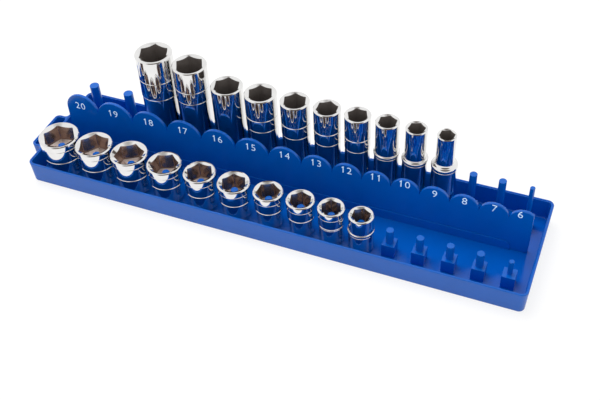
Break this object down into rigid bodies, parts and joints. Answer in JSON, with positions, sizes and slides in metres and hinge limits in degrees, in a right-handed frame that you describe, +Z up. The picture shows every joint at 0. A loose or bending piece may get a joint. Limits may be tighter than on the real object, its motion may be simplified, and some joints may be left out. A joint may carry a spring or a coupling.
{
  "type": "socket organizer tray",
  "caption": "Open tray of blue plastic whose square posts hold a row of short and a row of deep chrome sockets, with a leaning scalloped number divider between them and a pull tab.",
  "frame": {"origin": "centre of the tray's footprint, without the pull tab, on its underside", "axes": "+X along the rows towards the small sizes, +Y from the shallow row to the deep row, +Z up"},
  "size_m": [0.3571, 0.0838, 0.08],
  "materials": {
    "tray_plastic": "injection moulded, semi-gloss blue",
    "post_plastic": "injection moulded, semi-gloss blue",
    "socket_chrome": "mirror-bright chrome plating"
  },
  "bodies": {
    "tray": {"tray": "tray_plastic", "number_divider": "tray_plastic", "front_posts": "post_plastic", "rear_posts": "post_plastic"},
    "shallow_socket_20": {"shallow_socket_20": "socket_chrome"},
    "shallow_socket_19": {"shallow_socket_19": "socket_chrome"},
    "shallow_socket_18": {"shallow_socket_18": "socket_chrome"},
    "shallow_socket_17": {"shallow_socket_17": "socket_chrome"},
    "shallow_socket_16": {"shallow_socket_16": "socket_chrome"},
    "shallow_socket_15": {"shallow_socket_15": "socket_chrome"},
    "shallow_socket_14": {"shallow_socket_14": "socket_chrome"},
    "shallow_socket_13": {"shallow_socket_13": "socket_chrome"},
    "shallow_socket_12": {"shallow_socket_12": "socket_chrome"},
    "shallow_socket_11": {"shallow_socket_11": "socket_chrome"},
    "deep_socket_18": {"deep_socket_18": "socket_chrome"},
    "deep_socket_17": {"deep_socket_17": "socket_chrome"},
    "deep_socket_16": {"deep_socket_16": "socket_chrome"},
    "deep_socket_15": {"deep_socket_15": "socket_chrome"},
    "deep_socket_14": {"deep_socket_14": "socket_chrome"},
    "deep_socket_13": {"deep_socket_13": "socket_chrome"},
    "deep_socket_12": {"deep_socket_12": "socket_chrome"},
    "deep_socket_11": {"deep_socket_11": "socket_chrome"},
    "deep_socket_10": {"deep_socket_10": "socket_chrome"},
    "deep_socket_9": {"deep_socket_9": "socket_chrome"}
  },
  "joints": [
    {"name": "shallow_socket_20_lift", "type": "slide", "parent": "tray", "child": "shallow_socket_20", "axis": [0, 0, 1], "range_m": [0, 0.08]},
    {"name": "shallow_socket_19_lift", "type": "slide", "parent": "tray", "child": "shallow_socket_19", "axis": [0, 0, 1], "range_m": [0, 0.08]},
    {"name": "shallow_socket_18_lift", "type": "slide", "parent": "tray", "child": "shallow_socket_18", "axis": [0, 0, 1], "range_m": [0, 0.08]},
    {"name": "shallow_socket_17_lift", "type": "slide", "parent": "tray", "child": "shallow_socket_17", "axis": [0, 0, 1], "range_m": [0, 0.08]},
    {"name": "shallow_socket_16_lift", "type": "slide", "parent": "tray", "child": "shallow_socket_16", "axis": [0, 0, 1], "range_m": [0, 0.08]},
    {"name": "shallow_socket_15_lift", "type": "slide", "parent": "tray", "child": "shallow_socket_15", "axis": [0, 0, 1], "range_m": [0, 0.08]},
    {"name": "shallow_socket_14_lift", "type": "slide", "parent": "tray", "child": "shallow_socket_14", "axis": [0, 0, 1], "range_m": [0, 0.08]},
    {"name": "shallow_socket_13_lift", "type": "slide", "parent": "tray", "child": "shallow_socket_13", "axis": [0, 0, 1], "range_m": [0, 0.08]},
    {"name": "shallow_socket_12_lift", "type": "slide", "parent": "tray", "child": "shallow_socket_12", "axis": [0, 0, 1], "range_m": [0, 0.08]},
    {"name": "shallow_socket_11_lift", "type": "slide", "parent": "tray", "child": "shallow_socket_11", "axis": [0, 0, 1], "range_m": [0, 0.08]},
    {"name": "deep_socket_18_lift", "type": "slide", "parent": "tray", "child": "deep_socket_18", "axis": [0, 0, 1], "range_m": [0, 0.08]},
    {"name": "deep_socket_17_lift", "type": "slide", "parent": "tray", "child": "deep_socket_17", "axis": [0, 0, 1], "range_m": [0, 0.08]},
    {"name": "deep_socket_16_lift", "type": "slide", "parent": "tray", "child": "deep_socket_16", "axis": [0, 0, 1], "range_m": [0, 0.08]},
    {"name": "deep_socket_15_lift", "type": "slide", "parent": "tray", "child": "deep_socket_15", "axis": [0, 0, 1], "range_m": [0, 0.08]},
    {"name": "deep_socket_14_lift", "type": "slide", "parent": "tray", "child": "deep_socket_14", "axis": [0, 0, 1], "range_m": [0, 0.08]},
    {"name": "deep_socket_13_lift", "type": "slide", "parent": "tray", "child": "deep_socket_13", "axis": [0, 0, 1], "range_m": [0, 0.08]},
    {"name": "deep_socket_12_lift", "type": "slide", "parent": "tray", "child": "deep_socket_12", "axis": [0, 0, 1], "range_m": [0, 0.08]},
    {"name": "deep_socket_11_lift", "type": "slide", "parent": "tray", "child": "deep_socket_11", "axis": [0, 0, 1], "range_m": [0, 0.08]},
    {"name": "deep_socket_10_lift", "type": "slide", "parent": "tray", "child": "deep_socket_10", "axis": [0, 0, 1], "range_m": [0, 0.08]},
    {"name": "deep_socket_9_lift", "type": "slide", "parent": "tray", "child": "deep_socket_9", "axis": [0, 0, 1], "range_m": [0, 0.08]}
  ]
}
